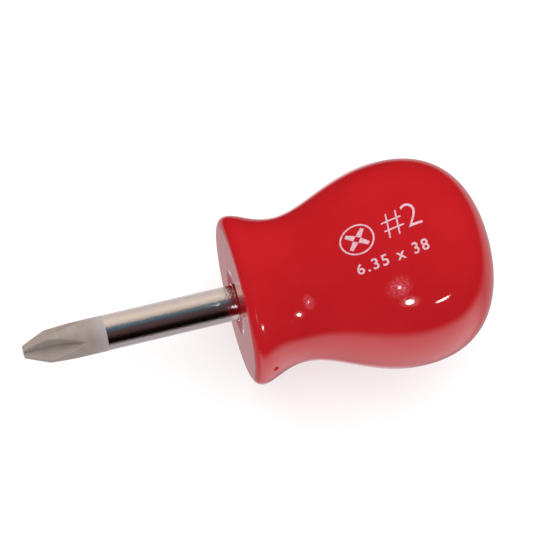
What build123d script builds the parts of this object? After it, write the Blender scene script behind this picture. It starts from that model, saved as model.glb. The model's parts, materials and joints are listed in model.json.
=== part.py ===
from build123d import *
import os
from math import pi, radians, sqrt, tan

# A stubby cross-point screwdriver: a round steel blade moulded into a one-piece plastic bulb handle.
# The tool's axis is X. The origin is the centre of the blade's blunt end, +X runs from the tip to the
# butt, and +Z is up with the tool lying on its side, its size mark on top. Millimetres.

# Blade: round bar turned to a quarter of an inch for the one and a half inches in front of the handle, and
# left as it was drawn from a little in front of the handle's face to its end inside the plastic.
SHANK_R = 6.35 / 2
DRAWN_R = 3.35
EXPOSED = 38.1
DRAWN_SHOWS = 0.1
EMBEDDED = 28.0
REAR_CHAMFER = 0.5

# Cross-point tip, number 2: a blunt cone with four V flutes, ground by a wheel that lifts out of the bar.
NOSE_R = 2.29 / 2
NOSE_HALF_ANGLE = 25.5
FLUTE_HALF_ANGLE = 45.5
FLUTE_ROOT = 0.56
FLUTE_STRAIGHT = 3.0
WHEEL_R = 12.8
WHEEL_DEPTH = 4.5
FIRST_FLUTE_ANGLE = 31.0
FLUTES = 4

# Swaged wings on the blade inside the handle: the bar is flattened, and it spreads to the same area.
SWAGE_START = 13.0
SWAGE_LENGTH = 10.0
SWAGE_THICKNESS = 4.0
SWAGE_WIDTH = SWAGE_THICKNESS + pi * (DRAWN_R**2 - (SWAGE_THICKNESS / 2) ** 2) / SWAGE_THICKNESS

# Handle outline, as (distance behind the front face, radius) where it runs level with the axis.
LIP = (1.50, 15.15)
WAIST = (9.55, 12.97)
BULB = (30.00, 18.40)
HANDLE_LENGTH = 45.75
FACE_R = 13.50

# How round the outline is at those places, as radii of curvature along the axis.
LIP_CURVE = 3.0
WAIST_CURVE = 9.1
BULB_CURVE = 24.3
BUTT_REACH = 15.35
BUTT_CREST = 4.10

# Shallow dish in the front face, round the blade.
DISH_R = 6.0
DISH_DEPTH = 0.45

QUARTER_ARC = 4 / 3 * (sqrt(2) - 1)


def along(distance: float, radius: float) -> Vector:
    """A point of the handle's outline, from its distance behind the front face and its radius."""
    return Vector(EXPOSED + distance, radius)


def reach(rise: float, curve: float) -> float:
    """The length of a Bezier handle that is level with the axis and leaves its end with this curvature."""
    return sqrt(2 / 3 * rise * curve)


def sweep_between(start: tuple, start_curve: float, end: tuple, end_curve: float) -> Edge:
    """The stretch of outline between two places where it runs level with the axis."""
    rise = abs(end[1] - start[1])
    return Bezier(
        along(*start),
        along(start[0] + reach(rise, start_curve), start[1]),
        along(end[0] - reach(rise, end_curve), end[1]),
        along(*end),
    )


def handle_outline() -> Sketch:
    """Half of the handle's long section: dish, face, rolled lip, waist, bulb and domed butt."""
    dish = Line(along(DISH_DEPTH, 0), along(DISH_DEPTH, DRAWN_R))
    cone = Line(along(DISH_DEPTH, DRAWN_R), along(0, DISH_R))
    face = Line(along(0, DISH_R), along(0, FACE_R))
    lip = Bezier(
        along(0, FACE_R),
        along(0, FACE_R + QUARTER_ARC * (LIP[1] - FACE_R)),
        along(LIP[0] * (1 - QUARTER_ARC), LIP[1]),
        along(*LIP),
    )
    neck = sweep_between(LIP, LIP_CURVE, WAIST, WAIST_CURVE)
    shoulder = sweep_between(WAIST, WAIST_CURVE, BULB, BULB_CURVE)
    butt = Bezier(
        along(*BULB),
        along(BULB[0] + BUTT_REACH, BULB[1]),
        along(HANDLE_LENGTH, BUTT_CREST),
        along(HANDLE_LENGTH, 0),
    )
    centre = Line(along(HANDLE_LENGTH, 0), along(DISH_DEPTH, 0))
    return make_face([dish, cone, face, lip, neck, shoulder, butt, centre])


def blade_bar() -> Part:
    """The round bar with its blunt cone in front, its drawn stretch and a small chamfer behind."""
    rear = EXPOSED + EMBEDDED
    drawn = EXPOSED - DRAWN_SHOWS
    cone_end = (SHANK_R - NOSE_R) / tan(radians(NOSE_HALF_ANGLE))
    section = make_face(
        Polyline(
            (0, 0),
            (0, NOSE_R),
            (cone_end, SHANK_R),
            (drawn, SHANK_R),
            (drawn, DRAWN_R),
            (rear - REAR_CHAMFER, DRAWN_R),
            (rear, DRAWN_R - REAR_CHAMFER),
            (rear, 0),
            close=True,
        )
    )
    return revolve(section, Axis.X)


def flute(angle: float) -> Part:
    """What the wheel takes out for one flute, turned from +Z towards -Y by this many degrees."""
    across = WHEEL_DEPTH * tan(radians(FLUTE_HALF_ANGLE))
    top = FLUTE_ROOT + WHEEL_DEPTH
    rim = make_face(
        Polyline(
            (FLUTE_STRAIGHT, 0, FLUTE_ROOT),
            (FLUTE_STRAIGHT, across, top),
            (FLUTE_STRAIGHT, -across, top),
            close=True,
        )
    )
    straight = extrude(rim, amount=2 * FLUTE_STRAIGHT, dir=(-1, 0, 0))
    spindle = Axis((FLUTE_STRAIGHT, 0, FLUTE_ROOT + WHEEL_R), (0, 1, 0))
    lift = revolve(rim, spindle, -90)
    return (straight + lift).rotate(Axis.X, angle)


def swaged_wings() -> Part:
    """The flattened stretch of bar inside the handle, which locks the blade in the plastic."""
    spread = Plane.YZ.offset(EXPOSED + SWAGE_START) * SlotOverall(SWAGE_WIDTH, SWAGE_THICKNESS)
    return extrude(spread, amount=SWAGE_LENGTH)


def flattened_stretch() -> Part:
    """The full round of the bar over the swaged stretch, which the flattening takes away."""
    bar = Plane.YZ.offset(EXPOSED + SWAGE_START) * Circle(DRAWN_R)
    return extrude(bar, amount=SWAGE_LENGTH)


def blade() -> Part:
    """The whole blade, from the tip to its end inside the handle."""
    body = blade_bar() - flattened_stretch() + swaged_wings()
    for index in range(FLUTES):
        body -= flute(FIRST_FLUTE_ANGLE + index * 360 / FLUTES)
    return body


def handle(core: Part) -> Part:
    """The handle, moulded round the blade, so that its bore has the shape of the blade in it."""
    return revolve(handle_outline(), Axis.X) - core


os.makedirs("parts", exist_ok=True)
steel = blade()
nodes = {"blade": steel, "handle": handle(steel)}
for name, solid in nodes.items():
    solid.label = name
    export_step(solid, f"parts/{name}.step")
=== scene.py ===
import json
import logging
import math
from dataclasses import dataclass
from enum import Enum

import bmesh
import bpy
import numpy as np
from mathutils import Matrix, Vector

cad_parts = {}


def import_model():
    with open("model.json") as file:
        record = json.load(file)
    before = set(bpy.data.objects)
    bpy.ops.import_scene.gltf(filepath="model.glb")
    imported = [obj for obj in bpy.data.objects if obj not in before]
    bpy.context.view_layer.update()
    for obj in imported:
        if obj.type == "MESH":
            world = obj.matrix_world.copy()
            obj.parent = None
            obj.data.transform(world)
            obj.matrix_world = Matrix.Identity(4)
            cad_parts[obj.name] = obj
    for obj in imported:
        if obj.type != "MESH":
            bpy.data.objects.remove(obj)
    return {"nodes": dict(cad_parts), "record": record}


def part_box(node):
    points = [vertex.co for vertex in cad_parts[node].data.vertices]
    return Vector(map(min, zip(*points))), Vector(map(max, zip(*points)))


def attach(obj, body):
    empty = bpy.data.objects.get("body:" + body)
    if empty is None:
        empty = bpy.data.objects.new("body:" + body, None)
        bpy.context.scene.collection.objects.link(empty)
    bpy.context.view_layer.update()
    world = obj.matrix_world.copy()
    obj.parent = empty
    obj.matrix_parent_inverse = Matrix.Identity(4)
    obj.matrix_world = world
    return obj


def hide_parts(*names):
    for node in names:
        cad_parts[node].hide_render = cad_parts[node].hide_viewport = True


# A stubby cross-point screwdriver. The tool's axis is X, the blade's blunt end is at the origin, and the
# size mark is printed near the top, which is +Z. Angles round the axis are measured from +Z towards -Y.

MM = 0.001
BODY = "root"

# Where the outline runs level with the axis: (distance behind the face, radius).
Level = tuple[float, float]

# A colour in a row of them: (where it stands in the row, colour).
Stop = tuple[float, tuple[float, float, float]]

log = logging.getLogger("screwdriver")


class Slot(Enum):
    """The record's material slots."""

    HANDLE = "handle_plastic"
    BLADE = "blade_chrome"
    MARK = "size_mark_ink"


class Node(Enum):
    """The CAD nodes that the pieces stand for."""

    HANDLE = "handle"
    BLADE = "blade"


# ---------------------------------------------------------------- meshes


def soft_least(first: np.ndarray, second: np.ndarray, width: float) -> np.ndarray:
    """The smaller of two heights, with the corner between them rounded.

    Half of (a + b - sqrt((a - b)^2 + width^2)): far from the corner it is the smaller of the two.

    Args:
        first: One height at each place.
        second: The other height at each place.
        width: How far apart the heights are when the rounding begins.

    Returns:
        The rounded least height at each place.
    """
    return 0.5 * (first + second - np.sqrt((first - second) ** 2 + width**2))


def bezier(points: list[tuple[float, float]], steps: int) -> np.ndarray:
    """Points along a cubic Bezier span, without its last one.

    Args:
        points: The span's four control points, as (along, radius).
        steps: How many points to give.

    Returns:
        An array of (along, radius), one row for each point.
    """
    t = np.arange(steps)[:, None] / steps
    a, b, c, d = (np.array(p) for p in points)
    return (1 - t) ** 3 * a + 3 * (1 - t) ** 2 * t * b + 3 * (1 - t) * t**2 * c + t**3 * d


def around(columns: int) -> np.ndarray:
    """Evenly spaced angles round the axis, from +Z towards -Y."""
    return np.arange(columns) * 2 * math.pi / columns


def turned_mesh(name: str, along: np.ndarray, radius: np.ndarray) -> bpy.types.Object:
    """A closed skin round the X axis, from a distance and a radius for each place on its grid.

    A place at angle t is at (x, -r sin t, r cos t). The rows run from one pole to the other, and their
    ends are closed on the axis. Faces point away from the axis where the rows run towards +X.

    Args:
        name: The piece's name.
        along: The distance along the axis of each row.
        radius: One radius for each row and each column.

    Returns:
        The new object, at the origin.
    """
    rows, columns = radius.shape
    angle = around(columns)
    grid = np.empty((rows, columns, 3))
    grid[..., 0] = along[:, None]
    grid[..., 1] = -radius * np.sin(angle)
    grid[..., 2] = radius * np.cos(angle)
    poles = np.array([[along[0], 0, 0], [along[-1], 0, 0]])
    here = np.arange(rows * columns).reshape(rows, columns)
    beside = np.roll(here, -1, axis=1)
    quads = np.stack([here[:-1], beside[:-1], beside[1:], here[1:]], axis=-1).reshape(-1, 4)
    first, last = rows * columns, rows * columns + 1
    start = np.stack([np.full(columns, first), beside[0], here[0]], axis=-1)
    end = np.stack([here[-1], beside[-1], np.full(columns, last)], axis=-1)
    mesh = bpy.data.meshes.new(name)
    places = np.vstack([grid.reshape(-1, 3), poles])
    mesh.from_pydata(places.tolist(), [], quads.tolist() + start.tolist() + end.tolist())
    return finished(name, mesh)


def finished(name: str, mesh: bpy.types.Mesh, crease: float = 40.0) -> bpy.types.Object:
    """An object at the origin for this mesh, smooth except over its sharp edges.

    Args:
        name: The object's name.
        mesh: Its mesh.
        crease: How many degrees an edge turns before it counts as sharp.

    Returns:
        The new object.
    """
    mesh.validate()
    mesh.shade_smooth()
    mesh.set_sharp_from_angle(angle=math.radians(crease))
    piece = bpy.data.objects.new(name, mesh)
    bpy.context.scene.collection.objects.link(piece)
    return piece


# ---------------------------------------------------------------- finishes


class Nodes:
    """A material's node tree, with short calls that add nodes and join them."""

    def __init__(self, name: str) -> None:
        """Starts a material with one Principled shader.

        Args:
            name: The material's name.
        """
        self.material = bpy.data.materials.new(name)
        self.material.use_nodes = True
        self.tree = self.material.node_tree
        self.shader = self.tree.nodes["Principled BSDF"]
        self.place = self.tree.nodes.new("ShaderNodeTexCoord").outputs["Object"]

    def set(self, **values: object) -> None:
        """Sets the shader's own sockets, with _ for a space in their names."""
        for name, value in values.items():
            self.shader.inputs[name.replace("_", " ")].default_value = value

    def feed(self, socket: bpy.types.NodeSocket, value: object) -> None:
        """Joins a socket to another, or sets its value.

        Args:
            socket: The input to fill.
            value: A node's output, or a plain value.
        """
        if isinstance(value, bpy.types.NodeSocket):
            self.tree.links.new(value, socket)
        else:
            socket.default_value = value

    def drive(self, **sockets: bpy.types.NodeSocket) -> None:
        """Joins node outputs to the shader's sockets, with _ for a space in their names."""
        for name, value in sockets.items():
            self.tree.links.new(value, self.shader.inputs[name.replace("_", " ")])

    def stretched(self, scale: tuple[float, float, float]) -> bpy.types.NodeSocket:
        """The piece's own coordinates, scaled differently along each axis.

        Args:
            scale: What X, Y and Z are multiplied by.

        Returns:
            The scaled coordinates.
        """
        mapping = self.tree.nodes.new("ShaderNodeMapping")
        self.tree.links.new(self.place, mapping.inputs["Vector"])
        mapping.inputs["Scale"].default_value = scale
        return mapping.outputs["Vector"]

    def noise(
        self, size: float, detail: float = 2.0, roughness: float = 0.5, vector: object = None
    ) -> bpy.types.NodeSocket:
        """Noise with blobs of about this size in metres, from 0 to 1.

        Args:
            size: The size of one blob.
            detail: How many finer layers lie on it.
            roughness: How strong the finer layers are.
            vector: The coordinates to read, or the piece's own.

        Returns:
            The noise's factor.
        """
        node = self.tree.nodes.new("ShaderNodeTexNoise")
        self.feed(node.inputs["Vector"], vector or self.place)
        self.feed(node.inputs["Scale"], 1 / size)
        self.feed(node.inputs["Detail"], detail)
        self.feed(node.inputs["Roughness"], roughness)
        return node.outputs["Fac"]

    def spots(self, size: float, vector: object = None) -> bpy.types.NodeSocket:
        """The distance to the nearest of scattered points, in units of their spacing.

        Args:
            size: The spacing of the points, in metres.
            vector: The coordinates to read, or the piece's own.

        Returns:
            The distance.
        """
        node = self.tree.nodes.new("ShaderNodeTexVoronoi")
        self.feed(node.inputs["Vector"], vector or self.place)
        self.feed(node.inputs["Scale"], 1 / size)
        return node.outputs["Distance"]

    def span(
        self, value: object, low: float, high: float, to_low: float = 0.0, to_high: float = 1.0
    ) -> bpy.types.NodeSocket:
        """Carries a value's range onto another with a smooth step, held at its ends.

        Args:
            value: The value to carry over.
            low: Where its range begins, and it may be the larger of the two.
            high: Where its range ends.
            to_low: What it becomes at low.
            to_high: What it becomes at high.

        Returns:
            The value on its new range.
        """
        node = self.tree.nodes.new("ShaderNodeMapRange")
        node.interpolation_type = "SMOOTHSTEP"
        self.feed(node.inputs["Value"], value)
        ends = {"From Min": low, "From Max": high, "To Min": to_low, "To Max": to_high}
        for name, number in ends.items():
            self.feed(node.inputs[name], number)
        return node.outputs["Result"]

    def sum(self, operation: str, first: object, second: object) -> bpy.types.NodeSocket:
        """One arithmetic step on two values.

        Args:
            operation: The step, such as ADD or MULTIPLY.
            first: The first value.
            second: The second value, which a step on one value ignores.

        Returns:
            The result.
        """
        node = self.tree.nodes.new("ShaderNodeMath")
        node.operation = operation
        self.feed(node.inputs[0], first)
        self.feed(node.inputs[1], second)
        return node.outputs["Value"]

    def blend(self, share: object, first: object, second: object) -> bpy.types.NodeSocket:
        """A colour between two others.

        Args:
            share: How much of the second there is, from 0 to 1.
            first: The first colour.
            second: The second colour.

        Returns:
            The mixed colour.
        """
        node = self.tree.nodes.new("ShaderNodeMix")
        node.data_type = "RGBA"
        self.feed(node.inputs[0], share)
        self.feed(node.inputs[6], first)
        self.feed(node.inputs[7], second)
        return node.outputs[2]

    def along_axis(self) -> bpy.types.NodeSocket:
        """The distance from the tip along the tool's axis.

        Returns:
            The distance in metres.
        """
        node = self.tree.nodes.new("ShaderNodeSeparateXYZ")
        self.tree.links.new(self.place, node.inputs["Vector"])
        return node.outputs["X"]

    def vector_step(self, operation: str, *values: object) -> bpy.types.Node:
        """One step of vector arithmetic.

        Args:
            operation: The step, such as NORMALIZE or LENGTH.
            values: What it works on, each a vector or a node's output.

        Returns:
            The node, whose result is its output Vector or Value.
        """
        node = self.tree.nodes.new("ShaderNodeVectorMath")
        node.operation = operation
        for socket, value in zip(node.inputs, values):
            self.feed(socket, value)
        return node

    def direction(self) -> tuple[bpy.types.NodeSocket, dict[str, bpy.types.NodeSocket]]:
        """The piece's own coordinates at length one.

        Returns:
            The direction as a vector, and its X, Y and Z.
        """
        whole = self.vector_step("NORMALIZE", self.place).outputs["Vector"]
        parts = self.tree.nodes.new("ShaderNodeSeparateXYZ")
        self.tree.links.new(whole, parts.inputs["Vector"])
        return whole, {axis: parts.outputs[axis] for axis in "XYZ"}

    def ramp(self, value: object, stops: list[Stop]) -> bpy.types.NodeSocket:
        """A colour for each value, through a row of stops.

        Args:
            value: The value, from 0 to 1.
            stops: The stops in order, each a value and its colour.

        Returns:
            The colour.
        """
        node = self.tree.nodes.new("ShaderNodeValToRGB")
        band = node.color_ramp
        while len(band.elements) < len(stops):
            band.elements.new(0.5)
        for element, (position, colour) in zip(band.elements, stops):
            element.position = position
            element.color = (*colour, 1)
        self.feed(node.inputs["Fac"], value)
        return node.outputs["Color"]

    def glow(self, colour: object, strength: object) -> None:
        """Makes the material a clear sheet that only gives light.

        Args:
            colour: The light's colour.
            strength: How strong it is.
        """
        self.tree.nodes.remove(self.shader)
        emission = self.tree.nodes.new("ShaderNodeEmission")
        self.feed(emission.inputs["Color"], colour)
        self.feed(emission.inputs["Strength"], strength)
        both = self.tree.nodes.new("ShaderNodeAddShader")
        self.tree.links.new(emission.outputs[0], both.inputs[0])
        self.tree.links.new(self.tree.nodes.new("ShaderNodeBsdfTransparent").outputs[0], both.inputs[1])
        self.tree.links.new(both.outputs[0], self.tree.nodes["Material Output"].inputs["Surface"])

    def relief(self, height: object, depth: float, under: object = None) -> bpy.types.NodeSocket:
        """A bump, laid over another one if there is one.

        Args:
            height: The height at each place, from 0 to 1.
            depth: How deep the bump is, in metres.
            under: The bump that it lies on.

        Returns:
            The bumped normal.
        """
        node = self.tree.nodes.new("ShaderNodeBump")
        self.feed(node.inputs["Height"], height)
        self.feed(node.inputs["Distance"], depth)
        if under is not None:
            self.tree.links.new(under, node.inputs["Normal"])
        return node.outputs["Normal"]


@dataclass(frozen=True)
class MouldedPlastic:
    """Glossy opaque plastic, clear-based, with a faint ripple from the mould and specks of dust."""

    name: str
    colour: tuple[float, float, float, float] = (0.460, 0.0112, 0.0157, 1)
    deep: tuple[float, float, float, float] = (0.438, 0.0101, 0.0142, 1)
    dust: tuple[float, float, float, float] = (0.62, 0.10, 0.11, 1)
    polish: float = 0.045
    dullest: float = 0.075
    index: float = 1.48

    def material(self) -> bpy.types.Material:
        """Builds the finish.

        Returns:
            The material.
        """
        nodes = Nodes(self.name)
        nodes.set(IOR=self.index)
        cloud = nodes.span(nodes.noise(9 * MM, 3), 0.35, 0.65)
        body = nodes.blend(cloud, self.deep, self.colour)
        speck = nodes.span(nodes.spots(2.6 * MM), 0.030, 0.022)
        rare = nodes.span(nodes.noise(3.1 * MM, 1), 0.60, 0.64)
        dusty = nodes.sum("MULTIPLY", nodes.sum("MULTIPLY", speck, rare), 0.6)
        nodes.drive(Base_Color=nodes.blend(dusty, body, self.dust))
        handled = nodes.span(nodes.noise(4 * MM, 5, 0.6), 0.4, 0.75, self.polish, self.dullest)
        nodes.drive(Roughness=handled)
        ripple = nodes.relief(nodes.noise(3.5 * MM, 1), 0.006 * MM)
        nodes.drive(Normal=nodes.relief(dusty, 0.01 * MM, ripple))
        return nodes.material


@dataclass(frozen=True)
class RawPlastic:
    """The same plastic where it was broken off its feed: not polished by the mould."""

    name: str
    colour: tuple[float, float, float, float] = (0.42, 0.004, 0.006, 1)
    roughness: float = 0.55

    def material(self) -> bpy.types.Material:
        """Builds the finish.

        Returns:
            The material.
        """
        nodes = Nodes(self.name)
        nodes.set(Roughness=self.roughness, IOR=1.48, Specular_IOR_Level=0.2)
        torn = nodes.noise(0.12 * MM, 4, 0.7)
        pale = tuple(min(1.0, 1.5 * part) for part in self.colour[:3]) + (1,)
        nodes.drive(Base_Color=nodes.blend(torn, self.colour, pale))
        nodes.drive(Normal=nodes.relief(torn, 0.03 * MM))
        return nodes.material


@dataclass(frozen=True)
class PlatedSteel:
    """Bright nickel-chrome plate on round bar, with the nose blasted matt up to a crisp line."""

    name: str
    blast_line: float
    plate: tuple[float, float, float, float] = (0.63, 0.61, 0.60, 1)
    plate_blue: tuple[float, float, float, float] = (0.59, 0.61, 0.62, 1)
    blasted: tuple[float, float, float, float] = (0.292, 0.235, 0.208, 1)
    blasted_pale: tuple[float, float, float, float] = (0.375, 0.342, 0.334, 1)
    blasted_metal: float = 0.12
    line_wander: float = 0.16 * MM

    def material(self) -> bpy.types.Material:
        """Builds the finish.

        Returns:
            The material.
        """
        nodes = Nodes(self.name)
        wander = nodes.sum("MULTIPLY", nodes.noise(1.4 * MM, 3), self.line_wander)
        reach = nodes.sum("ADD", nodes.along_axis(), wander)
        plated = nodes.span(reach, self.blast_line - 0.12 * MM, self.blast_line + 0.12 * MM)
        near = nodes.span(reach, self.blast_line - 3 * MM, self.blast_line)
        grit = nodes.noise(0.16 * MM, 4, 0.65)
        patches = nodes.noise(1.8 * MM, 3)
        dull = nodes.blend(nodes.span(patches, 0.35, 0.7, 0.0, 0.3), self.blasted, self.blasted_pale)
        dull = nodes.blend(nodes.sum("MULTIPLY", near, 0.8), dull, self.blasted_pale)
        bright = nodes.blend(nodes.span(nodes.noise(1.1 * MM, 3), 0.4, 0.6), self.plate, self.plate_blue)
        nodes.drive(Base_Color=nodes.blend(plated, dull, bright))
        nodes.drive(Metallic=nodes.span(plated, 0, 1, self.blasted_metal, 1.0))
        matt = nodes.span(patches, 0.3, 0.7, 0.44, 0.52)
        smear = nodes.span(nodes.noise(0.5 * MM, 4, 0.7), 0.3, 0.8, 0.05, 0.11)
        gap = nodes.sum("SUBTRACT", smear, matt)
        nodes.drive(Roughness=nodes.sum("ADD", matt, nodes.sum("MULTIPLY", plated, gap)))
        rings = nodes.noise(0.5 * MM, 3, 0.6, nodes.stretched((1, 0.12, 0.12)))
        orange = nodes.noise(0.38 * MM, 3, 0.6)
        smooth = nodes.sum("ADD", nodes.sum("MULTIPLY", rings, 0.10), nodes.sum("MULTIPLY", orange, 1.6))
        rough = nodes.sum("SUBTRACT", 1.0, plated)
        height = nodes.sum("ADD", nodes.sum("MULTIPLY", smooth, plated), nodes.sum("MULTIPLY", grit, rough))
        nodes.drive(Normal=nodes.relief(height, 0.02 * MM))
        return nodes.material


@dataclass(frozen=True)
class PrintedInk:
    """A thin pad-printed film of off-white ink, which lets some of the plastic's red through."""

    name: str
    ink: tuple[float, float, float, float] = (0.70, 0.47, 0.53, 1)
    thin: tuple[float, float, float, float] = (0.55, 0.20, 0.24, 1)

    def material(self) -> bpy.types.Material:
        """Builds the finish.

        Returns:
            The material.
        """
        nodes = Nodes(self.name)
        nodes.set(IOR=1.45, Specular_IOR_Level=0.3)
        cover = nodes.noise(0.35 * MM, 5, 0.7)
        nodes.drive(Base_Color=nodes.blend(nodes.span(cover, 0.32, 0.55), self.thin, self.ink))
        nodes.drive(Roughness=nodes.span(cover, 0.3, 0.7, 0.55, 0.38))
        nodes.drive(Normal=nodes.relief(cover, 0.006 * MM))
        return nodes.material


# ---------------------------------------------------------------- the tool


@dataclass
class Blade:
    """The steel: a number 2 cross point ground on a round bar, whose rear end is hidden in the handle.

    From a little in front of the handle's face the bar is thicker, as it is in the CAD node.
    """

    rear: float
    shank_radius: float
    face: float
    drawn_radius: float = 3.35 * MM
    drawn_shows: float = 0.1 * MM
    nose_radius: float = 2.29 / 2 * MM
    nose_half_angle: float = math.radians(25.5)
    nose_round: float = 0.14 * MM
    flute_half_angle: float = math.radians(45.5)
    flute_root: float = 0.56 * MM
    flute_straight: float = 3.0 * MM
    wheel_radius: float = 12.8 * MM
    first_flute: float = math.radians(31.0)
    flutes: int = 4
    edge_round: float = 0.16 * MM
    ground_length: float = 11.5 * MM
    swage_start: float = 13.0 * MM
    swage_length: float = 10.0 * MM
    swage_thickness: float = 4.0 * MM
    rear_chamfer: float = 0.5 * MM
    blast_line: float = 14.7 * MM
    columns: int = 360

    def flute_wall(self, along: np.ndarray, angle: np.ndarray) -> np.ndarray:
        """How far from the axis the steel ends in a flute.

        Over the straight stretch the wall is the plane p = root + cot(half angle) |q|, where p is the height
        towards the flute and q is the distance across it. Further back it is the wheel's double cone, where
        (x - x0)^2 + (p - centre)^2 = (wheel radius - cot(half angle) |q|)^2, solved for the nearer
        radius.

        Args:
            along: The distance from the tip at each place.
            angle: The angle round the axis at each place.

        Returns:
            The wall's radius, and a large one where the wheel doesn't reach.
        """
        step = 2 * math.pi / self.flutes
        off = (angle - self.first_flute + step / 2) % step - step / 2
        cosine, sine = np.cos(off), np.abs(np.sin(off))
        slope = 1 / math.tan(self.flute_half_angle)
        beyond = np.maximum(along - self.flute_straight, 0)
        centre = self.flute_root + self.wheel_radius
        square = cosine**2 - slope**2 * sine**2
        half = centre * cosine - self.wheel_radius * slope * sine
        rest = centre**2 + beyond**2 - self.wheel_radius**2
        under_root = half**2 - square * rest
        near = rest / (half + np.sqrt(np.maximum(under_root, 0)))
        return np.where(under_root > 0, near, 4 * self.shank_radius)

    def swaged(self, angle: np.ndarray) -> np.ndarray:
        """The radius of the flattened section: two flats, a half round at each end, and the bar's area.

        Args:
            angle: The angle round the axis at each place.

        Returns:
            The radius at each place.
        """
        sine, cosine = np.abs(np.sin(angle)), np.abs(np.cos(angle))
        end = self.swage_thickness / 2
        centre = math.pi * (self.drawn_radius**2 - end**2) / (2 * self.swage_thickness)
        flat = end / np.maximum(cosine, 1e-6)
        tip = centre * sine + np.sqrt(np.maximum(end**2 - (centre * cosine) ** 2, 0))
        return np.where(flat * sine < centre, flat, tip)

    def radius(self, along: np.ndarray, angle: np.ndarray) -> np.ndarray:
        """The steel's radius at each place.

        It is the least of the bar, the blunt cone and the flute's wall, with rounded corners, less the
        rounding of the blunt end: root - sqrt(root^2 - (root - x)^2) near the tip.

        Args:
            along: The distance from the tip at each place.
            angle: The angle round the axis at each place.

        Returns:
            The radius at each place.
        """
        cone = self.nose_radius + along * math.tan(self.nose_half_angle)
        turned = soft_least(cone, np.full_like(cone, self.shank_radius), self.edge_round)
        ground = soft_least(turned, self.flute_wall(along, angle), self.edge_round)
        short = np.clip(self.nose_round - along, 0, self.nose_round)
        ground -= self.nose_round - np.sqrt(self.nose_round**2 - short**2)
        behind = self.face + self.swage_start
        flattened = (along > behind) & (along < behind + self.swage_length)
        inside = np.where(flattened, self.swaged(angle), self.drawn_radius)
        return np.where(along > self.face - self.drawn_shows, inside, ground)

    def rows(self) -> tuple[np.ndarray, np.ndarray]:
        """Where the skin's rows lie.

        Returns:
            Each row's distance from the tip, and the share of the steel's radius that it has.
        """
        blunt = self.nose_round * (1 - np.cos(np.linspace(0, math.pi / 2, 9)))
        ground = np.linspace(self.nose_round, self.ground_length, 170)[1:]
        step = self.face - self.drawn_shows + np.array([-1, 1]) * 0.005 * MM
        shank = np.concatenate([np.linspace(self.ground_length, step[0], 30)[1:], step[1:], [self.face]])
        hidden = self.hidden_rows()
        along = np.concatenate([[0, 0], blunt, ground, shank, hidden, [self.rear, self.rear]])
        share = np.ones_like(along)
        share[:2] = (0.35, 0.7)
        share[-2:] = (1 - self.rear_chamfer / self.drawn_radius, 0.4)
        return along, share

    def hidden_rows(self) -> np.ndarray:
        """Where the rows inside the handle lie, in pairs where the swaged stretch steps.

        Returns:
            Each row's distance from the tip.
        """
        start = self.face + self.swage_start
        end = start + self.swage_length
        step = 0.02 * MM
        stops = [start - step, start + step, end - step, end + step]
        plain = np.linspace(self.face, start, 6)[1:-1]
        middle = np.linspace(start, end, 5)[1:-1]
        tail = np.linspace(end, self.rear - self.rear_chamfer, 3)[1:]
        return np.concatenate([plain, stops[:2], middle, stops[2:], tail])

    def build(self) -> bpy.types.Object:
        """Makes the blade's skin.

        Returns:
            The blade.
        """
        along, share = self.rows()
        angle = around(self.columns)
        radius = share[:, None] * self.radius(along[:, None], angle[None, :])
        return turned_mesh("steel_blade", along, radius)

    def dress(self, piece: bpy.types.Object) -> None:
        """Plates the shank, blasts the nose, and puts the piece in the frame.

        Args:
            piece: The blade.
        """
        piece.data.materials.append(PlatedSteel("plated_steel", self.blast_line).material())
        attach(piece, BODY)
        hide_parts(Node.BLADE.value)


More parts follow.
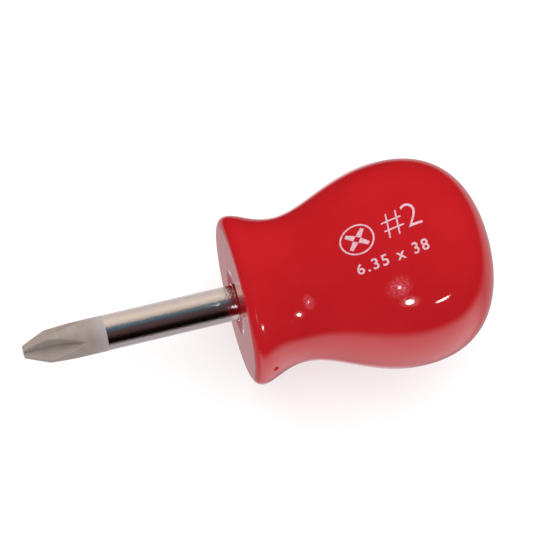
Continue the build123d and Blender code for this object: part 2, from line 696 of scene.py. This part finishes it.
@dataclass
class Handle:
    """The bulb handle: dished front face, rolled lip, waist, bulb and domed butt, moulded round the blade.

    The outline runs level with the axis at the lip, waist and bulb. Each is (distance behind the face,
    radius), and each curve is the outline's radius of curvature there.
    """

    face: float
    length: float
    bulb_radius: float
    blade: Blade
    lip: Level = (1.50 * MM, 15.15 * MM)
    waist: Level = (9.55 * MM, 12.97 * MM)
    bulb_distance: float = 30.00 * MM
    face_radius: float = 13.50 * MM
    lip_curve: float = 3.0 * MM
    waist_curve: float = 9.1 * MM
    bulb_curve: float = 24.3 * MM
    butt_reach: float = 15.35 * MM
    butt_crest: float = 4.10 * MM
    dish_radius: float = 6.0 * MM
    dish_depth: float = 0.45 * MM
    columns: int = 256

    def between(
        self, start: Level, start_curve: float, end: Level, end_curve: float, steps: int
    ) -> np.ndarray:
        """The outline between two places where it is level.

        Each inner control point stands off its end by sqrt(2/3 of the rise times the radius of curvature),
        which gives the span that curvature at that end.

        Args:
            start: Where the span begins.
            start_curve: Its radius of curvature there.
            end: Where the span ends.
            end_curve: Its radius of curvature there.
            steps: How many points to give.

        Returns:
            Points of (distance behind the face, radius).
        """
        rise = abs(end[1] - start[1])
        first = start[0] + math.sqrt(2 / 3 * rise * start_curve)
        second = end[0] - math.sqrt(2 / 3 * rise * end_curve)
        return bezier([start, (first, start[1]), (second, end[1]), end], steps)

    def outline(self) -> np.ndarray:
        """The outside of the handle, from the dish's floor to the butt.

        The dish sinks by depth (1 - s^2 (3 - 2 s)), where s runs from 0 at the blade to 1 at its rim.

        Returns:
            Points of (distance behind the face, radius).
        """
        quarter = 4 / 3 * (math.sqrt(2) - 1)
        bore = self.blade.drawn_radius
        bulb = (self.bulb_distance, self.bulb_radius)
        share = np.linspace(0, 1, 20)[:-1]
        sunk = self.dish_depth * (1 - share**2 * (3 - 2 * share))
        dish = np.stack([sunk, bore + share * (self.dish_radius - bore)], axis=-1)
        flat = np.linspace((0, self.dish_radius), (0, self.face_radius), 20)[:-1]
        roll = self.lip[1] - self.face_radius
        lip = bezier(
            [
                (0, self.face_radius),
                (0, self.face_radius + quarter * roll),
                (self.lip[0] * (1 - quarter), self.lip[1]),
                self.lip,
            ],
            24,
        )
        neck = self.between(self.lip, self.lip_curve, self.waist, self.waist_curve, 44)
        shoulder = self.between(self.waist, self.waist_curve, bulb, self.bulb_curve, 60)
        crest = (self.length, self.butt_crest)
        butt = bezier([bulb, (bulb[0] + self.butt_reach, bulb[1]), crest, (self.length, 0)], 84)
        return np.vstack([dish, flat, lip, neck, shoulder, butt])

    def skin_radius(self, along: np.ndarray) -> np.ndarray:
        """The handle's radius between the lip and the butt.

        Args:
            along: Distances from the tip.

        Returns:
            The radius at each of them.
        """
        line = self.outline()
        side = line[line[:, 0] > self.lip[0]]
        return np.interp(along - self.face, side[:, 0], side[:, 1])

    def build(self) -> bpy.types.Object:
        """Makes the handle's skin: up the bore, which has the blade's shape, then round the outside.

        Returns:
            The handle.
        """
        angle = around(self.columns)
        hidden = np.concatenate([self.blade.hidden_rows(), [self.blade.rear]])[::-1]
        bore = self.blade.radius(hidden[:, None], angle[None, :])
        bore[0] *= 1 - self.blade.rear_chamfer / self.blade.drawn_radius
        line = self.outline()
        outside = np.repeat(line[:, 1:], self.columns, axis=1)
        along = np.concatenate([hidden, self.face + line[:, 0]])
        return turned_mesh("bulb_handle", along, np.vstack([bore, outside]))

    def dress(self, piece: bpy.types.Object) -> None:
        """Gives the handle its plastic and puts it in the frame.

        Args:
            piece: The handle.
        """
        piece.data.materials.append(MouldedPlastic("red_plastic").material())
        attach(piece, BODY)
        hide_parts(Node.HANDLE.value)

    def rest_tilt(self) -> tuple[float, float]:
        """How a table lies against the handle when it rests on its bulb and lip.

        The table's height under the axis at slope b is the largest r cos b - x sin b over the outline. The
        slope wanted is the one at which that largest point moves from the bulb to the lip.

        Returns:
            The slope in radians and that height.
        """
        line = self.outline()
        slope = np.linspace(0, math.radians(15), 3001)[:, None]
        depth = line[:, 1] * np.cos(slope) - (self.face + line[:, 0]) * np.sin(slope)
        on_lip = line[depth.argmax(axis=1), 0] < self.waist[0]
        index = int(on_lip.argmax())
        return float(slope[index, 0]), float(depth[index].max())


@dataclass
class GateMark:
    """The small rough nub on the lip's back slope, where the plastic's feed was broken off."""

    handle: Handle
    distance: float = 3.5 * MM
    angle: float = math.radians(75.5)
    radius: float = 0.60 * MM
    height: float = 0.30 * MM
    sunk: float = 0.08 * MM
    columns: int = 28

    def build(self) -> bpy.types.Object:
        """Makes the nub: a low cap whose height falls as the square of the distance from its middle.

        Returns:
            The nub.
        """
        share = np.linspace(0, 1, 9)[1:]
        out = self.radius * share
        rise = self.height * (1 - share**2) - self.sunk * share
        piece = turned_mesh("gate_mark", -rise, np.repeat(out[:, None], self.columns, axis=1))
        along = self.handle.face + self.distance
        step = 0.1 * MM
        here, ahead = self.handle.skin_radius(np.array([along, along + step]))
        slope = math.atan((ahead - here) / step)
        stand = Matrix.Rotation(self.angle, 4, "X") @ Matrix.Translation((along, 0, here))
        piece.data.transform(stand @ Matrix.Rotation(math.pi / 2 - slope, 4, "Y"))
        return piece

    def dress(self, piece: bpy.types.Object) -> None:
        """Gives the nub its plastic and puts it in the frame.

        Args:
            piece: The nub.
        """
        piece.data.materials.append(RawPlastic("gate_plastic").material())
        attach(piece, BODY)


@dataclass
class SizeMark:
    """The pale print on the bulb: a cross-recess sign with the point's number, over the blade's size."""

    handle: Handle
    distance: float = 26.3 * MM
    turn: float = math.radians(8.0)
    film: float = 0.03 * MM
    cell: float = 0.7 * MM
    cuts: int = 14
    sign_centre: tuple[float, float] = (-4.9 * MM, 2.4 * MM)
    sign_radius: float = 3.0 * MM
    stroke: float = 0.30 * MM
    number: str = "#2"
    number_height: float = 4.7 * MM
    number_centre: tuple[float, float] = (3.3 * MM, 2.5 * MM)
    number_weight: float = -0.10 * MM
    size: str = "6.35 x 38"
    size_height: float = 1.95 * MM
    size_centre: tuple[float, float] = (-0.5 * MM, -3.3 * MM)
    size_weight: float = 0.045 * MM
    size_spacing: float = 1.24
    size_per_height: float = 1.42

    def ring(self) -> tuple[np.ndarray, np.ndarray]:
        """The sign's ring: two circles a stroke apart, joined by quads.

        Returns:
            Flat places, and the quads between them.
        """
        turn = around(64)
        radii = self.sign_radius - np.array([self.stroke, 0])[:, None]
        flat = np.stack([radii * np.cos(turn), radii * np.sin(turn)], axis=-1).reshape(-1, 2)
        here = np.arange(128).reshape(2, 64)
        beside = np.roll(here, -1, axis=1)
        quads = np.stack([here[0], here[1], beside[1], beside[0]], axis=-1)
        return flat + self.sign_centre, quads

    def arms(self) -> tuple[np.ndarray, np.ndarray]:
        """The sign's cross: four arms that narrow outwards, each a strip of quads from the middle.

        Returns:
            Flat places, and the quads between them.
        """
        out = np.linspace(0.16, 0.74, 6) * self.sign_radius
        half = np.linspace(0.17, 0.11, 6) * self.sign_radius
        strip = np.stack([np.stack([out, -half], axis=-1), np.stack([out, half], axis=-1)])
        turns = around(4) + math.radians(45)
        spin = np.stack([np.cos(turns), np.sin(turns), -np.sin(turns), np.cos(turns)], axis=-1)
        flat = np.einsum("sni,aij->asnj", strip, spin.reshape(4, 2, 2)).reshape(-1, 2)
        here = np.arange(48).reshape(4, 2, 6)
        quads = np.stack([here[:, 0, :-1], here[:, 0, 1:], here[:, 1, 1:], here[:, 1, :-1]], axis=-1)
        return flat + self.sign_centre, quads.reshape(-1, 4)

    def lettering(
        self, text: str, height: float, centre: tuple[float, float], weight: float, spacing: float
    ) -> bpy.types.Mesh:
        """A line of figures as a flat mesh.

        Args:
            text: The figures.
            height: Their height.
            centre: Where the line's middle lies.
            weight: How much each stroke is fattened on either side.
            spacing: How far apart the figures stand, where 1 is the face's own spacing.

        Returns:
            The flat mesh.
        """
        curve = bpy.data.curves.new("figures", "FONT")
        curve.body = text
        curve.size = height * self.size_per_height
        curve.offset = weight
        curve.space_character = spacing
        curve.align_x, curve.align_y = "CENTER", "CENTER"
        holder = bpy.data.objects.new("figures", curve)
        bpy.context.scene.collection.objects.link(holder)
        bpy.context.view_layer.update()
        shown = holder.evaluated_get(bpy.context.evaluated_depsgraph_get())
        mesh = bpy.data.meshes.new_from_object(shown)
        bpy.data.objects.remove(holder)
        mesh.transform(Matrix.Translation((*centre, 0)))
        return mesh

    def sheet(self) -> bmesh.types.BMesh:
        """The whole print, flat, cut into cells small enough to follow the bulb.

        Returns:
            The flat print.
        """
        flat = bmesh.new()
        for places, quads in (self.ring(), self.arms()):
            mesh = bpy.data.meshes.new("sign")
            mesh.from_pydata(np.pad(places, ((0, 0), (0, 1))).tolist(), [], quads.tolist())
            flat.from_mesh(mesh)
        lines = (
            (self.number, self.number_height, self.number_centre, self.number_weight, 1.0),
            (self.size, self.size_height, self.size_centre, self.size_weight, self.size_spacing),
        )
        for line in lines:
            flat.from_mesh(self.lettering(*line))
        for axis in (Vector((1, 0, 0)), Vector((0, 1, 0))):
            for count in range(-self.cuts, self.cuts + 1):
                every = flat.verts[:] + flat.edges[:] + flat.faces[:]
                where = axis * count * self.cell
                bmesh.ops.bisect_plane(flat, geom=every, dist=1e-7, plane_co=where, plane_no=axis)
        bmesh.ops.remove_doubles(flat, verts=flat.verts, dist=1e-6)
        return flat

    def build(self) -> bpy.types.Object:
        """Makes the print: (u, v) on the flat sheet lies at u along the axis and v / radius round it.

        Returns:
            The print.
        """
        flat = self.sheet()
        mesh = bpy.data.meshes.new("size_mark")
        flat.to_mesh(mesh)
        flat.free()
        places = np.empty(len(mesh.vertices) * 3)
        mesh.vertices.foreach_get("co", places)
        u, v = places.reshape(-1, 3)[:, :2].T
        cosine, sine = math.cos(self.turn), math.sin(self.turn)
        u, v = u * cosine - v * sine, u * sine + v * cosine
        along = self.handle.face + self.distance + u
        radius = self.handle.skin_radius(along) + self.film
        angle = -v / self.handle.bulb_radius
        lifted = np.stack([along, -radius * np.sin(angle), radius * np.cos(angle)], axis=-1)
        mesh.vertices.foreach_set("co", lifted.ravel())
        piece = finished("size_mark", mesh)
        wall = piece.modifiers.new("film", "SOLIDIFY")
        wall.thickness, wall.offset = 2 * self.film, -1
        return piece

    def dress(self, piece: bpy.types.Object) -> None:
        """Inks the print and puts it in the frame.

        Args:
            piece: The print.
        """
        piece.data.materials.append(PrintedInk("print_ink").material())
        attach(piece, BODY)


# ---------------------------------------------------------------- the studio


@dataclass
class Surround:
    """What one piece mirrors: a clear shell round the tool that glows by direction, seen in it alone.

    The shell's own Z is the table's upward normal, and its own X lies along the tool.
    """

    name: str
    radius: float
    columns: int = 48

    def glowing(self, nodes: Nodes) -> None:
        """Gives the shell's glow. Each kind of shell has its own."""
        raise NotImplementedError

    def hang(self, place: Matrix, piece: bpy.types.Object) -> None:
        """Puts the shell round the tool.

        Args:
            place: The shell's place and turn.
            piece: The piece that mirrors it.
        """
        turn = np.linspace(0, math.pi, self.columns // 2)[1:-1]
        rings = np.repeat(self.radius * np.sin(turn)[:, None], self.columns, axis=1)
        shell = turned_mesh(self.name, -self.radius * np.cos(turn), rings)
        shell.matrix_world = place
        nodes = Nodes(self.name)
        self.glowing(nodes)
        nodes.material.cycles.emission_sampling = "NONE"
        shell.data.materials.append(nodes.material)
        mirrored_only(shell, [piece])


@dataclass
class HandleSurround(Surround):
    """The plastic mirrors a dark room over a table that is bright in front and dim elsewhere.

    The front is an angle round the table's normal. A band is (where it begins, where it ends). Past the
    tool's edge lies one more glow, in the direction `beyond`, and it is narrower along the tool.
    """

    front: float = math.radians(-76)
    bright: float = 1.16
    dim: float = 0.47
    level: float = math.radians(-25)
    rise_ahead: float = math.radians(14)
    drop_behind: float = math.radians(26)
    edge: float = math.radians(16)
    lobe: tuple[float, float] = (0.45, 0.85)
    shade: tuple[float, float] = (math.radians(-76), math.radians(-30))
    shade_share: float = 0.22
    foot: tuple[float, float] = (math.radians(-80), math.radians(-58))
    foot_share: float = 0.72
    beyond: tuple[float, float, float] = (0.148, 0.257, -0.955)
    beyond_squeeze: float = 3.2
    beyond_band: tuple[float, float] = (0.60, 0.14)
    beyond_bright: float = 0.80

    def facing(self, nodes: Nodes, parts: dict[str, bpy.types.NodeSocket]) -> bpy.types.NodeSocket:
        """The cosine of the angle round the table's normal between a direction and the front.

        Args:
            nodes: The shell's nodes.
            parts: The direction's X, Y and Z.

        Returns:
            1 in front, 0 at the sides and -1 behind.
        """
        level = nodes.tree.nodes.new("ShaderNodeCombineXYZ")
        nodes.feed(level.inputs["X"], parts["X"])
        nodes.feed(level.inputs["Y"], parts["Y"])
        unit = nodes.vector_step("NORMALIZE", level.outputs["Vector"]).outputs["Vector"]
        front = (math.cos(self.front), math.sin(self.front), 0)
        return nodes.vector_step("DOT_PRODUCT", unit, front).outputs["Value"]

    def past_edge(self, nodes: Nodes, whole: bpy.types.NodeSocket) -> bpy.types.NodeSocket:
        """The glow past the tool's edge, by the distance between a direction and `beyond`.

        X counts for more in that distance, by the squeeze, so that the front face doesn't mirror the glow.

        Args:
            nodes: The shell's nodes.
            whole: The direction.

        Returns:
            The glow's strength.
        """
        squeeze = self.beyond_squeeze
        less = (-squeeze * self.beyond[0], -self.beyond[1], -self.beyond[2])
        off = nodes.vector_step("MULTIPLY_ADD", whole, (squeeze, 1, 1), less).outputs["Vector"]
        away = nodes.vector_step("LENGTH", off).outputs["Value"]
        return nodes.span(away, *self.beyond_band, 0, self.beyond_bright)

    def glowing(self, nodes: Nodes) -> None:
        """The table's glow.

        It starts 11 degrees under level in front and 51 behind. It is brightest towards the front, and it
        is dimmer steeply down, where the tool shades the table under itself.

        Args:
            nodes: The shell's nodes.
        """
        whole, parts = nodes.direction()
        facing = self.facing(nodes, parts)
        height = nodes.sum("ARCSINE", parts["Z"], 0)
        ahead = nodes.sum("MULTIPLY", facing, self.rise_ahead)
        behind = nodes.sum("MULTIPLY", facing, self.drop_behind)
        start = nodes.sum("ADD", nodes.sum("MINIMUM", ahead, behind), self.level)
        lit = nodes.span(nodes.sum("SUBTRACT", start, height), -self.edge / 2, self.edge / 2)
        lobe = nodes.sum("MULTIPLY", nodes.span(facing, *self.lobe), self.bright)
        shaded = nodes.span(height, *self.shade, self.shade_share, 1.0)
        table = nodes.sum("ADD", nodes.sum("MULTIPLY", lobe, shaded), self.dim)
        foot = nodes.span(height, *self.foot, self.foot_share, 1.0)
        both = nodes.sum("ADD", nodes.sum("MULTIPLY", table, foot), self.past_edge(nodes, whole))
        nodes.glow((1, 0.97, 1, 1), nodes.sum("MULTIPLY", both, lit))


@dataclass
class BladeSurround(Surround):
    """The plated bar mirrors long cards: a warm one behind, a dark room overhead, the table on both sides.

    Each band is (degrees from straight up, positive towards +Y, colour), at a strength that all share.
    """

    strength: float = 1.25
    bands: tuple[Stop, ...] = (
        (-180, (0.85, 0.80, 0.80)),
        (-145, (0.46, 0.39, 0.40)),
        (-112, (0.50, 0.43, 0.44)),
        (-98, (0.13, 0.10, 0.10)),
        (-88, (0.0, 0.0, 0.0)),
        (-56, (0.01, 0.005, 0.005)),
        (-42, (0.07, 0.035, 0.035)),
        (-14, (0.10, 0.07, 0.075)),
        (-4, (0.08, 0.12, 0.15)),
        (3, (0.11, 0.21, 0.26)),
        (8, (0.08, 0.11, 0.13)),
        (14, (0.34, 0.30, 0.29)),
        (30, (0.74, 0.62, 0.53)),
        (50, (0.94, 0.75, 0.62)),
        (66, (0.84, 0.69, 0.59)),
        (100, (0.68, 0.57, 0.53)),
        (128, (0.74, 0.66, 0.65)),
        (180, (0.85, 0.80, 0.80)),
    )

    def glowing(self, nodes: Nodes) -> None:
        """The bands, by the angle round the tool's axis: the arc tangent of Y over Z.

        Args:
            nodes: The shell's nodes.
        """
        parts = nodes.direction()[1]
        turn = nodes.sum("ARCTAN2", parts["Y"], parts["Z"])
        share = nodes.sum("ADD", nodes.sum("DIVIDE", turn, 2 * math.pi), 0.5)
        stops = [(angle / 360 + 0.5, colour) for angle, colour in self.bands]
        nodes.glow(nodes.ramp(share, stops), self.strength)


@dataclass
class Lamp:
    """A small bright card that shows as a highlight, hottest in its middle and grainy towards its rim.

    Its direction is (degrees round from +X towards +Y, degrees over the table), as seen from the tool.
    """

    name: str
    direction: tuple[float, float]
    wide: float
    high: float
    core: float
    halo: float = 2.0
    core_share: float = 0.5
    roll: float = 0.0
    distance: float = 0.6
    aim: tuple[float, float, float] = (0, 0, 0)
    tint: tuple[float, float, float, float] = (1, 0.97, 0.96, 1)

    def hang(self, place: Matrix, pieces: list[bpy.types.Object]) -> None:
        """Hangs the card, facing the tool.

        Args:
            place: The tool's middle, with Z as the table's upward normal.
            pieces: The pieces that mirror it.
        """
        round_by, over = (math.radians(angle) for angle in self.direction)
        level = Vector((math.cos(round_by), math.sin(round_by), 0))
        way = math.cos(over) * level + math.sin(over) * Vector((0, 0, 1))
        size = np.array([self.wide, self.high]) / 2
        corner = np.array([(-1, -1), (1, -1), (1, 1), (-1, 1)]) * size
        mesh = bpy.data.meshes.new(self.name)
        mesh.from_pydata(np.pad(corner, ((0, 0), (0, 1))).tolist(), [], [(0, 1, 2, 3)])
        card = finished(self.name, mesh)
        turn = way.to_track_quat("Z", "Y").to_matrix().to_4x4() @ Matrix.Rotation(self.roll, 4, "Z")
        card.matrix_world = place @ Matrix.Translation(Vector(self.aim) + self.distance * way) @ turn
        nodes = Nodes(self.name)
        flat = nodes.stretched((2 / self.wide, 2 / self.high, 0))
        out = nodes.vector_step("LENGTH", flat).outputs["Value"]
        hot = nodes.span(out, self.core_share, self.core_share * 0.6, 0, self.core)
        grain = nodes.span(nodes.noise(0.05 * (self.wide + self.high), 4, 0.8), 0.42, 0.62, 0, self.halo)
        soft = nodes.sum("MULTIPLY", nodes.span(out, 1.0, self.core_share * 0.6), grain)
        nodes.glow(self.tint, nodes.sum("ADD", hot, soft))
        card.data.materials.append(nodes.material)
        mirrored_only(card, pieces)


def hide_but_mirrored(card: bpy.types.Object) -> None:
    """Hides a sheet from everything but reflections.

    Args:
        card: The sheet.
    """
    card.visible_camera = False
    card.visible_diffuse = False
    card.visible_shadow = False
    card.visible_transmission = False


def mirrored_only(card: bpy.types.Object, pieces: list[bpy.types.Object]) -> None:
    """Shows a glowing sheet in the reflections of some pieces, and nowhere else.

    Args:
        card: The sheet.
        pieces: The pieces that mirror it.
    """
    hide_but_mirrored(card)
    group = bpy.data.collections.new(card.name + "_mirrored_by")
    for piece in pieces:
        group.objects.link(piece)
    card.light_linking.receiver_collection = group


def flag(place: Matrix, wide: float, high: float) -> None:
    """Stands a small black card by the tool, upright along it, which hides a lamp from part of the handle.

    Args:
        place: The card's middle, with X along the tool and Z up.
        wide: Its length along the tool.
        high: Its height.
    """
    corner = np.array([(-1, 0, -1), (1, 0, -1), (1, 0, 1), (-1, 0, 1)]) * (wide / 2, 0, high / 2)
    mesh = bpy.data.meshes.new("flag")
    mesh.from_pydata(corner.tolist(), [], [(0, 1, 2, 3)])
    card = finished("flag", mesh)
    card.matrix_world = place
    nodes = Nodes("flag_black")
    nodes.set(Base_Color=(0, 0, 0, 1), Roughness=1.0, Specular_IOR_Level=0.0)
    card.data.materials.append(nodes.material)
    hide_but_mirrored(card)


@dataclass
class Studio:
    """The table, the lights and the camera."""

    slope: float
    height: float
    middle: Vector
    handle: bpy.types.Object
    blade: bpy.types.Object
    tilt: float = math.radians(7.0)
    roll_over: float = math.radians(15.0)
    climb: float = math.radians(13.2)
    distance: float = 0.70
    width: float = 93.6 * MM
    shift: tuple[float, float] = (3.06 * MM, 4.65 * MM)
    table_glow: float = 0.56

    def towards_camera(self) -> Vector:
        """The direction from the tool to the camera: the tip leans a little towards it.

        Returns:
            The direction at length one.
        """
        across = Vector((0, -math.sin(self.roll_over), math.cos(self.roll_over)))
        return math.cos(self.tilt) * across - math.sin(self.tilt) * Vector((1, 0, 0))

    def camera(self) -> None:
        """Sets the camera on a long lens, rolled so that the tool's axis climbs to the right."""
        toward = self.towards_camera()
        axis = Vector((1, 0, 0))
        axis = (axis - axis.dot(toward) * toward).normalized()
        across = toward.cross(axis)
        right = math.cos(self.climb) * axis - math.sin(self.climb) * across
        above = math.sin(self.climb) * axis + math.cos(self.climb) * across
        aim = self.middle + self.shift[0] * axis + self.shift[1] * across
        data = bpy.data.cameras.new("camera")
        data.sensor_width = 36
        data.lens = data.sensor_width * self.distance / self.width
        camera = bpy.data.objects.new("camera", data)
        turn = Matrix((right, above, toward)).transposed().to_4x4()
        camera.matrix_world = Matrix.Translation(aim + self.distance * toward) @ turn
        bpy.context.scene.collection.objects.link(camera)
        bpy.context.scene.camera = camera

    def table(self) -> None:
        """Lays a large pale table under the tool, touching its bulb and lip."""
        half, fold = 1.5, 64
        steps = np.linspace(-half, half, fold)
        x, y = np.meshgrid(steps, steps, indexing="ij")
        drop = -self.height - 0.02 * MM
        places = np.stack([x, y, np.full_like(x, drop)], axis=-1).reshape(-1, 3)
        here = np.arange(fold * fold).reshape(fold, fold)
        quads = np.stack([here[:-1, :-1], here[1:, :-1], here[1:, 1:], here[:-1, 1:]], axis=-1)
        mesh = bpy.data.meshes.new("table")
        mesh.from_pydata(places.tolist(), [], quads.reshape(-1, 4).tolist())
        mesh.transform(Matrix.Rotation(self.slope, 4, "Y"))
        floor = finished("table", mesh)
        floor.visible_glossy = False
        nodes = Nodes("table_white")
        nodes.set(Roughness=0.6, Specular_IOR_Level=0.1)
        nodes.set(Emission_Color=(1, 1, 1, 1), Emission_Strength=self.table_glow)
        paper = nodes.span(nodes.noise(40 * MM, 3), 0.3, 0.7)
        nodes.drive(Base_Color=nodes.blend(paper, (0.49, 0.49, 0.49, 1), (0.51, 0.51, 0.51, 1)))
        floor.data.materials.append(nodes.material)

    def daylight(self) -> None:
        """A pale room and two broad soft lights, above and beside the butt, which leave no reflection."""
        world = bpy.data.worlds.new("room")
        world.use_nodes = True
        background = world.node_tree.nodes["Background"]
        background.inputs["Color"].default_value = (1, 1, 1, 1)
        background.inputs["Strength"].default_value = 1.0
        world.cycles_visibility.glossy = False
        bpy.context.scene.world = world
        self.soft_light("overhead", Vector((-0.1, 0.3, 0.95)), 0.85)
        self.soft_light("beside", Vector((0.75, 0.6, 0.3)), 0.85)

    def soft_light(self, name: str, way: Vector, radiance: float) -> None:
        """Hangs a broad soft light a metre from the tool.

        Args:
            name: The light's name.
            way: The direction from the tool to the light.
            radiance: How bright its face is.
        """
        size = 1.1
        data = bpy.data.lights.new(name, "AREA")
        data.shape = "SQUARE"
        data.size = size
        data.energy = radiance * math.pi * size**2
        lamp = bpy.data.objects.new(name, data)
        way = way.normalized()
        turn = way.to_track_quat("Z", "Y").to_matrix().to_4x4()
        lamp.matrix_world = Matrix.Translation(self.middle + way) @ turn
        lamp.visible_glossy = False
        lamp.visible_camera = False
        bpy.context.scene.collection.objects.link(lamp)

    def reflections(self) -> None:
        """Hangs the shells and the lamps that the plastic and the plated bar mirror."""
        place = Matrix.Translation(self.middle) @ Matrix.Rotation(self.slope, 4, "Y")
        HandleSurround("handle_surround", radius=1.6).hang(place, self.handle)
        BladeSurround("blade_surround", radius=1.8).hang(place, self.blade)
        for lamp in self.handle_lamps():
            lamp.hang(place, [self.handle])
        flag(place @ Matrix.Translation((20 * MM, -41 * MM, 26 * MM)), 18 * MM, 10 * MM)
        glint = Lamp(
            "glint_lamp",
            (0, 90),
            wide=2.2 * MM,
            high=34 * MM,
            core=30,
            halo=0,
            core_share=1.0,
            distance=0.1,
            aim=(7 * MM, 0, 0),
        )
        glint.hang(place, [self.blade])

    def handle_lamps(self) -> tuple[Lamp, ...]:
        """The three lamps that the plastic mirrors: one close in front, a long low one and a grainy one.

        Returns:
            The lamps, not yet hung.
        """
        front = Lamp(
            "front_lamp",
            (-74.4, 37.1),
            wide=25 * MM,
            high=19 * MM,
            core=40,
            halo=5,
            core_share=0.4,
            distance=73.9 * MM,
        )
        side = Lamp(
            "side_lamp",
            (-60.6, 24.4),
            wide=120 * MM,
            high=22 * MM,
            core=30,
            core_share=0.62,
            distance=259 * MM,
            roll=math.radians(-6),
        )
        grain = Lamp(
            "grain_lamp",
            (-108, 48),
            wide=260 * MM,
            high=340 * MM,
            core=26,
            halo=5.5,
            core_share=0.12,
            tint=(1, 0.78, 0.95, 1),
        )
        return front, side, grain

    def build(self) -> None:
        """Sets up the whole studio."""
        bpy.context.scene.view_settings.view_transform = "Standard"
        self.camera()
        self.table()
        self.daylight()
        self.reflections()


def main() -> None:
    """Builds the tool and its studio in order."""
    logging.basicConfig(level=logging.INFO, format="%(name)s: %(message)s")
    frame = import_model()
    log.info("frame holds %d CAD nodes", len(frame["nodes"]))
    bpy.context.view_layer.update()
    blade_low, blade_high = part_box(Node.BLADE.value)
    handle_low, handle_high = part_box(Node.HANDLE.value)
    shank = next(mount for mount in frame["record"]["mounts"] if mount["name"] == "shank")
    blade = Blade(rear=blade_high[0], shank_radius=shank["dims"]["r_mm"] * MM, face=handle_low[0])
    handle = Handle(
        face=handle_low[0],
        length=handle_high[0] - handle_low[0],
        bulb_radius=(handle_high[1] - handle_low[1]) / 2,
        blade=blade,
    )
    made = {}
    for part in (blade, handle, GateMark(handle), SizeMark(handle)):
        piece = part.build()
        part.dress(piece)
        made[piece.name] = piece
        log.info("%s: %d faces", piece.name, len(piece.data.polygons))
    slope, height = handle.rest_tilt()
    middle = Vector(((blade_low[0] + handle_high[0]) / 2, 0, 0))
    Studio(slope, height, middle, made["bulb_handle"], made["steel_blade"]).build()
    log.info("table slopes %.2f degrees, %.2f mm under the tip", math.degrees(slope), height / MM)


if __name__ == "__main__":
    main()
